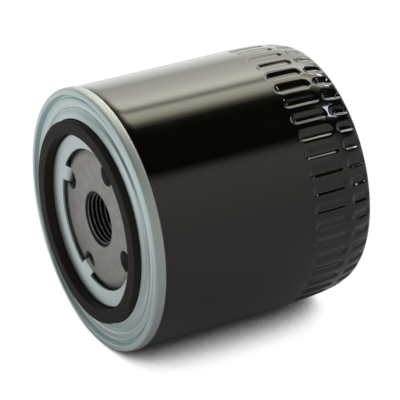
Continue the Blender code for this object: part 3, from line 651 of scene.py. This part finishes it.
def make_lid():
    """The lid and its four tabs as one sheet. A tab leaves the aperture between two columns of the grid."""
    profile = np.concatenate((filleted(scaled(lid_front())), filleted(scaled(lid_back()))))
    angles, groups = lid_angles()
    count, width = len(profile), len(angles)
    radius = np.repeat(profile[:, :1], width, axis=1)
    station = np.repeat(profile[:, 1:], width, axis=1)
    points = list(in_row(radius, angles[None, :], station).reshape(-1, 3))
    tabbed = {j for group in groups for j in group[:-1]}
    faces = []
    for i in range(count):
        k = (i + 1) % count
        for j in range(width):
            if k == 0 and j in tabbed:
                continue
            n = (j + 1) % width
            faces.append((i * width + j, i * width + n, k * width + n, k * width + j))
    back = (count - 1) * width
    for tab, group in zip(TAB_ANGLES, groups):
        add_tab(points, faces, tab, group, [back + j for j in group])
    return mesh_object("lid_sheet", np.array(points), faces, sharp_angle=40)


# Gasket

GASKET_WIDTH = 4.65 * MM


def make_gasket():
    """Square-section rubber ring with softly rounded edges."""
    outer = GASKET_RADIUS
    inner = outer - GASKET_WIDTH
    edge = 0.22 * MM
    depth = GASKET_DEPTH
    corners = [
        (inner + 1.5 * MM, 0.0, 0),
        (outer, 0.0, edge),
        (outer, depth, edge),
        (inner, depth, edge),
        (inner, 0.0, edge),
        (inner + 1.4 * MM, 0.0, 0),
    ]
    return revolved("gasket_ring", filleted(corners, 6), all_round(360), sharp_angle=60)


# Base plate

PLATE_COLUMNS = 240
PLATE_THICKNESS = 2.6 * MM
PLATE_STEP = 1.3 * MM
PLATE_RAISED = 22.8 * MM
BOSS_RADIUS = 12.525 * MM
SLOT_INNER = 17.25 * MM
SLOT_OUTER = 27.0 * MM
SLOT_HALF_WIDTH = 3.8 * MM
MOUTH_RADIUS = 10.35 * MM


def threaded(radius, station, angle):
    """A single-start thread in the bore, with a cone at its mouth and flats on its crests."""
    in_bore = (radius < 10.6 * MM) & (station < BOSS_END)
    phase = (station - PLATE_FRONT) / THREAD_PITCH - angle / tau
    swing = np.abs((phase % 1.0) - 0.5) * 2
    depth = np.clip((1 - swing) * 1.35 - 0.12, 0, 1)
    groove = THREAD_MINOR + (THREAD_MAJOR - THREAD_MINOR) * depth
    into = station - PLATE_FRONT
    mouth = MOUTH_RADIUS - np.clip(into, 0, None) * 2.0
    bore = np.maximum(groove, mouth)
    return np.where(in_bore, bore, radius), station


def slot_cutter(name, tab):
    """A bar with a round inner end that runs through the plate under one tab."""
    outline = [(SLOT_OUTER, -SLOT_HALF_WIDTH), (SLOT_OUTER, SLOT_HALF_WIDTH)]
    centre = SLOT_INNER + SLOT_HALF_WIDTH
    for step in range(13):
        turn = pi / 2 + pi * step / 12
        outline.append((centre + SLOT_HALF_WIDTH * cos(turn), SLOT_HALF_WIDTH * sin(turn)))
    points = []
    for station in (PLATE_FRONT - 2 * MM, BOSS_END):
        for x, v in outline:
            points.append((x * cos(tab) - v * sin(tab), station + FACE_Y, x * sin(tab) + v * cos(tab)))
    n = len(outline)
    faces = [tuple(range(n)), tuple(range(2 * n - 1, n - 1, -1))]
    faces += [(j, j + n, (j + 1) % n + n, (j + 1) % n) for j in range(n)]
    return mesh_object(name, np.array(points), faces)


def make_base_plate():
    """The stamped plate with its threaded boss, and a slot cut under each tab."""
    outer_front = GASKET_DEPTH + PLATE_STEP
    outer_back = outer_front + PLATE_THICKNESS
    back = PLATE_FRONT + PLATE_THICKNESS
    shoulder = PLATE_RAISED + 3.0 * MM
    bore = [(MOUTH_RADIUS + 0.1 * MM, PLATE_FRONT + 0.02 * MM)]
    for station in np.arange(0.1, 9.85, 0.11) * MM:
        bore.append((THREAD_MINOR, PLATE_FRONT + station))
    bore.append((THREAD_MINOR, BOSS_END - 0.01 * MM))
    rest = filleted(
        [
            (THREAD_MAJOR + 0.2 * MM, BOSS_END, 0),
            (BOSS_RADIUS, BOSS_END, 0.5 * MM),
            (BOSS_RADIUS, back, 0.8 * MM),
            (PLATE_RAISED, back, 0.8 * MM),
            (shoulder, outer_back, 0.8 * MM),
            (PLATE_RADIUS, outer_back, 0.4 * MM),
            (PLATE_RADIUS, outer_front, 0.4 * MM),
            (shoulder + 0.2 * MM, outer_front, 0.6 * MM),
            (PLATE_RAISED, PLATE_FRONT, 1.0 * MM),
            (11.6 * MM, PLATE_FRONT, 0.2 * MM),
            (10.9 * MM, PLATE_FRONT, 0),
        ],
        7,
    )
    profile = np.concatenate((np.array(bore), rest))
    plate = revolved("threaded_plate", profile, all_round(PLATE_COLUMNS), shape=threaded, sharp_angle=40)
    cutters = [slot_cutter(f"slot_cutter_{i}", tab) for i, tab in enumerate(TAB_ANGLES)]
    for cutter in cutters:
        boolean = plate.modifiers.new("Slot", "BOOLEAN")
        boolean.object = cutter
        boolean.solver = "EXACT"
    bpy.context.view_layer.update()
    cut = bpy.data.meshes.new_from_object(plate.evaluated_get(bpy.context.evaluated_depsgraph_get()))
    plate.modifiers.clear()
    plate.data = cut
    smooth(cut, 40)
    for cutter in cutters:
        bpy.data.objects.remove(cutter)
    return plate


# Bypass spring

SPRING_WIRE = 0.55 * MM
SPRING_TURNS = 5
SPRING_SPREAD_TURNS = 3
SPRING_STEPS = 40
SPRING_SIDES = 12


def make_bypass_spring():
    """A round-wire compression spring with a closed turn at each end."""
    coil = (SPRING_HIGH.x - SPRING_LOW.x) / 2 - SPRING_WIRE
    closed = 2.15 * SPRING_WIRE
    length = SPRING_HIGH.y - SPRING_LOW.y - 2 * SPRING_WIRE
    spread = (length - 2 * closed) / SPRING_SPREAD_TURNS
    count = SPRING_TURNS * SPRING_STEPS
    around = all_round(SPRING_SIDES)
    points = []
    for i in range(count + 1):
        turn = i / SPRING_STEPS
        rise = closed * min(turn, 1) + spread * np.clip(turn - 1, 0, SPRING_SPREAD_TURNS)
        rise += closed * max(0, turn - SPRING_TURNS + 1)
        ring = coil + SPRING_WIRE * np.cos(around)
        along = SPRING_LOW.y - FACE_Y + SPRING_WIRE + rise + SPRING_WIRE * np.sin(around)
        points.append(in_row(ring, np.full(SPRING_SIDES, tau * turn), along))
    faces = []
    for i in range(count):
        near, far = i * SPRING_SIDES, (i + 1) * SPRING_SIDES
        for j in range(SPRING_SIDES):
            n = (j + 1) % SPRING_SIDES
            faces.append((near + j, near + n, far + n, far + j))
    last = count * SPRING_SIDES
    faces.append(tuple(range(SPRING_SIDES)))
    faces.append(tuple(range(last + SPRING_SIDES - 1, last - 1, -1)))
    return mesh_object("valve_spring", np.concatenate(points), faces, sharp_angle=60)


# Stage

# Stops round the axis, in degrees from +X towards +Z, each with a level of light and its share of blue.
ROOM = [
    (-180, 0.55, 0.96),
    (-20, 0.58, 0.92),
    (9, 0.70, 0.92),
    (41, 0.86, 0.86),
    (48, 0.78, 0.84),
    (51, 0.45, 0.80),
    (56, 0.04, 0.68),
    (72, 0.05, 0.70),
    (92, 0.05, 0.64),
    (98, 0.1, 0.66),
    (108, 0.4, 0.78),
    (150, 0.5, 0.92),
    (180, 0.55, 0.96),
]
BANK = [
    (-180, 1.4, 0.94),
    (-150, 0.0, 0.97),
    (99, 0.0, 0.70),
    (101, 0.3, 0.70),
    (103, 0.6, 0.72),
    (105, 1.7, 0.73),
    (107, 3.1, 0.74),
    (110, 4.2, 0.76),
    (113, 5.0, 0.77),
    (115, 5.3, 0.78),
    (117, 4.5, 0.77),
    (119, 2.6, 0.76),
    (121, 1.9, 0.78),
    (123, 3.0, 0.82),
    (125, 4.9, 0.82),
    (128, 5.9, 0.84),
    (131, 6.0, 0.85),
    (136, 4.7, 0.87),
    (142, 3.5, 0.88),
    (150, 2.4, 0.89),
    (160, 1.4, 0.89),
    (170, 1.55, 0.91),
    (180, 1.4, 0.94),
]
# A ramp's colours stay within 1, so levels are held as shares of this one.
TOP_LEVEL = 9.0
BACK_LIGHT_DISTANCE = 1.1


def make_camera():
    """Straight view of the filter from in front of its gasket face, to the right and above."""
    azimuth, elevation = radians(60.30), radians(27.81)
    back = Vector((sin(azimuth) * cos(elevation), -cos(azimuth) * cos(elevation), sin(elevation)))
    right = Vector((cos(azimuth), sin(azimuth), 0))
    up = back.cross(right)
    target = Vector((0, FACE_Y, 0)) + right * 39.44 * MM + up * 7.83 * MM
    data = bpy.data.cameras.new("camera")
    data.lens = 210.66
    data.sensor_width = 36
    data.clip_start = 0.01
    data.clip_end = 50
    camera = bpy.data.objects.new("camera", data)
    bpy.context.scene.collection.objects.link(camera)
    camera.matrix_world = Matrix.Translation(target + back * 0.800) @ Matrix(
        (right, up, back)
    ).transposed().to_4x4()
    bpy.context.scene.camera = camera


def ramp_of(graph, angle, stops):
    """A linear ramp over a full turn of the angle, from (degrees, level, share of blue) stops."""
    ramp = graph.nodes.new("ShaderNodeValToRGB")
    ramp.color_ramp.interpolation = "LINEAR"
    elements = ramp.color_ramp.elements
    elements.remove(elements[-1])
    for i, (degrees, level, blue) in enumerate(stops):
        position = (degrees + 180) / 360
        element = elements[0] if i == 0 else elements.new(position)
        element.position = position
        share = level / TOP_LEVEL
        green = 1 - (1 - blue) * 0.15
        element.color = (share, share * green, share * blue, 1)
    graph.links.new(graph.spread(angle, -pi, pi, 0, 1), ramp.inputs[0])
    return ramp.outputs[0]


def scaled_vector(graph, vector, scale):
    node = graph.nodes.new("ShaderNodeVectorMath")
    node.operation = "SCALE"
    graph.links.new(vector, node.inputs[0])
    if isinstance(scale, float):
        node.inputs["Scale"].default_value = scale
    else:
        graph.links.new(scale, node.inputs["Scale"])
    return node.outputs[0]


def make_world():
    """A studio: a bank of light high on the left, dark overhead, pale all round, white to the camera."""
    world = bpy.data.worlds.new("studio")
    world.use_nodes = True
    bpy.context.scene.world = world
    graph = Graph(world.node_tree)
    background = graph.nodes["Background"]
    x, y, z = graph.split(graph.nodes.new("ShaderNodeTexCoord").outputs["Generated"])
    angle = graph.math("ARCTAN2", z, x)

    def part(coordinate, low, high, out_low, out_high):
        return graph.spread(coordinate, low, high, out_low, out_high, smooth=True)

    from_left = part(x, -0.70, -0.35, 0.42 / TOP_LEVEL, 1 / TOP_LEVEL)
    to_right = part(x, -0.1, 0.4, 0.68, 0.45)
    front = graph.math("MULTIPLY", from_left, to_right)
    front = graph.math("MULTIPLY", front, part(z, 0.45, 0.75, 1, 0.1))
    rear = part(z, 0.20, 0.50, 0.7 / TOP_LEVEL, 0.04 / TOP_LEVEL)
    room = graph.mix(part(y, -0.2, -0.5, 0, 1), ramp_of(graph, angle, ROOM), front)
    room = graph.mix(part(y, 0.58, 0.80, 0, 1), room, rear)
    window = graph.math("MULTIPLY", part(y, 0.12, 0.36, 0, 1), part(y, 0.60, 0.85, 1, 0))
    both = graph.nodes.new("ShaderNodeVectorMath")
    both.operation = "ADD"
    graph.links.new(scaled_vector(graph, ramp_of(graph, angle, BANK), window), both.inputs[0])
    graph.links.new(room, both.inputs[1])
    graph.links.new(scaled_vector(graph, both.outputs[0], TOP_LEVEL), background.inputs["Color"])
    white = graph.nodes.new("ShaderNodeBackground")
    white.inputs["Color"].default_value = (1, 1, 1, 1)
    mixed = graph.nodes.new("ShaderNodeMixShader")
    path = graph.nodes.new("ShaderNodeLightPath")
    graph.links.new(path.outputs["Is Camera Ray"], mixed.inputs[0])
    graph.links.new(background.outputs[0], mixed.inputs[1])
    graph.links.new(white.outputs[0], mixed.inputs[2])
    graph.links.new(mixed.outputs[0], graph.nodes["World Output"].inputs["Surface"])


def floor_material():
    """A glowing floor with a painted shadow: to the camera it glows evenly except where ambient occlusion
    darkens it under the filter, and to reflections its glow carries painted shade to the right and in front
    and painted light to the left.
    """
    material = bpy.data.materials.new("floor")
    material.use_nodes = True
    graph = Graph(material.node_tree)
    graph.nodes.remove(graph.nodes["Principled BSDF"])
    # Painted shadow: the glow that the camera sees is darkened by ambient occlusion where the filter covers
    # the floor.
    cover = graph.nodes.new("ShaderNodeAmbientOcclusion")
    cover.samples = 16
    cover.inputs["Distance"].default_value = 0.5
    open_share = cover.outputs["AO"]
    camera_glow_with_painted_shadow = graph.spread(open_share, 0.13, 0.42, 0.02, 1.02, smooth=True)
    x, y, _ = graph.split(graph.nodes.new("ShaderNodeTexCoord").outputs["Object"])
    # Painted shade and light for reflections: the glow is darker to the right and in front of the filter,
    # brighter to the left, and darkened by occlusion.
    right_shade = graph.spread(x, 0.04, -0.01, 0.5, 1, smooth=True)
    front_shade = graph.spread(y, -0.085, -0.05, 0.5, 1, smooth=True)
    shade = graph.math("MAXIMUM", right_shade, front_shade)
    left = graph.spread(x, -0.04, -0.65, 0, 1.1)
    painted_light_left = graph.math("MULTIPLY", left, graph.spread(y, -0.03, 0.07, 0, 1, smooth=True))
    reflected = graph.math("MULTIPLY", graph.math("POWER", open_share, 1.5), graph.math("ADD", painted_light_left, 0.62))
    reflected = graph.math("MULTIPLY", reflected, shade)
    path = graph.nodes.new("ShaderNodeLightPath")
    level = graph.nodes.new("ShaderNodeMix")
    graph.links.new(path.outputs["Is Camera Ray"], level.inputs["Factor"])
    graph.links.new(reflected, level.inputs[2])
    graph.links.new(camera_glow_with_painted_shadow, level.inputs[3])
    glow = graph.nodes.new("ShaderNodeEmission")
    graph.links.new(level.outputs[0], glow.inputs["Strength"])
    graph.links.new(glow.outputs[0], graph.nodes["Material Output"].inputs["Surface"])
    return material


def make_floor():
    """A pale floor just under the rim."""
    size = 6.0
    floor = mesh_object(
        "floor",
        np.array([(-size, -size, 0), (size, -size, 0), (size, size, 0), (-size, size, 0)]),
        [(0, 1, 2, 3)],
    )
    floor.location = (0, 0, cad_low.z - 0.05 * MM)
    floor.data.materials.append(floor_material())


def make_back_light(name, direction, width, height, energy):
    """A cool soft box behind the closed end, facing the filter."""
    data = bpy.data.lights.new(name, "AREA")
    data.shape = "ELLIPSE"
    data.size = width
    data.size_y = height
    data.energy = energy
    data.color = (0.80, 0.88, 1.0)
    light = bpy.data.objects.new(name, data)
    bpy.context.scene.collection.objects.link(light)
    direction = Vector(direction).normalized()
    light.location = direction * BACK_LIGHT_DISTANCE
    light.rotation_mode = "QUATERNION"
    light.rotation_quaternion = direction.to_track_quat("Z", "Y")
    light.visible_camera = False


# Everything together

make_camera()
make_world()
make_floor()
make_back_light("high_back_light", (0.20, 0.66, 0.72), 0.16, 0.16, 1.0)
make_back_light("left_back_light", (-0.36, 0.74, 0.57), 0.14, 0.10, 0.45)

paint = black_paint()
zinc = zinc_plate()
steel = plate_steel()
gasket_rubber = rubber("gasket_rubber", (0.018, 0.0140, 0.0118), (0.024, 0.0190, 0.0160), 0.58)
valve_rubber = rubber("valve_rubber", (0.006, 0.006, 0.006), (0.012, 0.012, 0.012), 0.5)
tin = plain_metal("tin_plate", (0.55, 0.55, 0.53), (0.72, 0.72, 0.70), 0.34)
spring = plain_metal("spring_steel", (0.22, 0.22, 0.23), (0.38, 0.38, 0.40), 0.32)

finish_piece(make_can(), paint, "housing", "black_paint", "can")
finish_piece(make_lid(), zinc, "housing", "zinc_plate", "seaming_lid")
finish_piece(make_gasket(), gasket_rubber, "housing", "gasket_rubber", "mounting_gasket")
finish_piece(make_base_plate(), steel, "housing", "raw_steel", "base_plate")

valve_spring = finish_piece(make_bypass_spring(), spring, "housing", "spring_steel", "bypass_spring")
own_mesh(valve_spring)

carried = {
    "seam_sealant_ring": sealing_compound(),
    "anti_drain_valve": valve_rubber,
    "front_end_cap": tin,
    "rear_end_cap": tin,
    "centre_tube": tin,
    "media_seam_clip": tin,
    "bypass_seat": tin,
    "bypass_cage": tin,
    "bypass_disc": tin,
    "bypass_seal": valve_rubber,
    "element_spring": spring,
    "front_potting": potting_compound(),
    "pleated_media": filter_paper(),
}
carried["rear_potting"] = carried["front_potting"]
for node, look in carried.items():
    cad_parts[node].material_slots[0].material = look

settings = bpy.context.scene.view_settings
settings.view_transform = "Standard"
settings.look = "None"
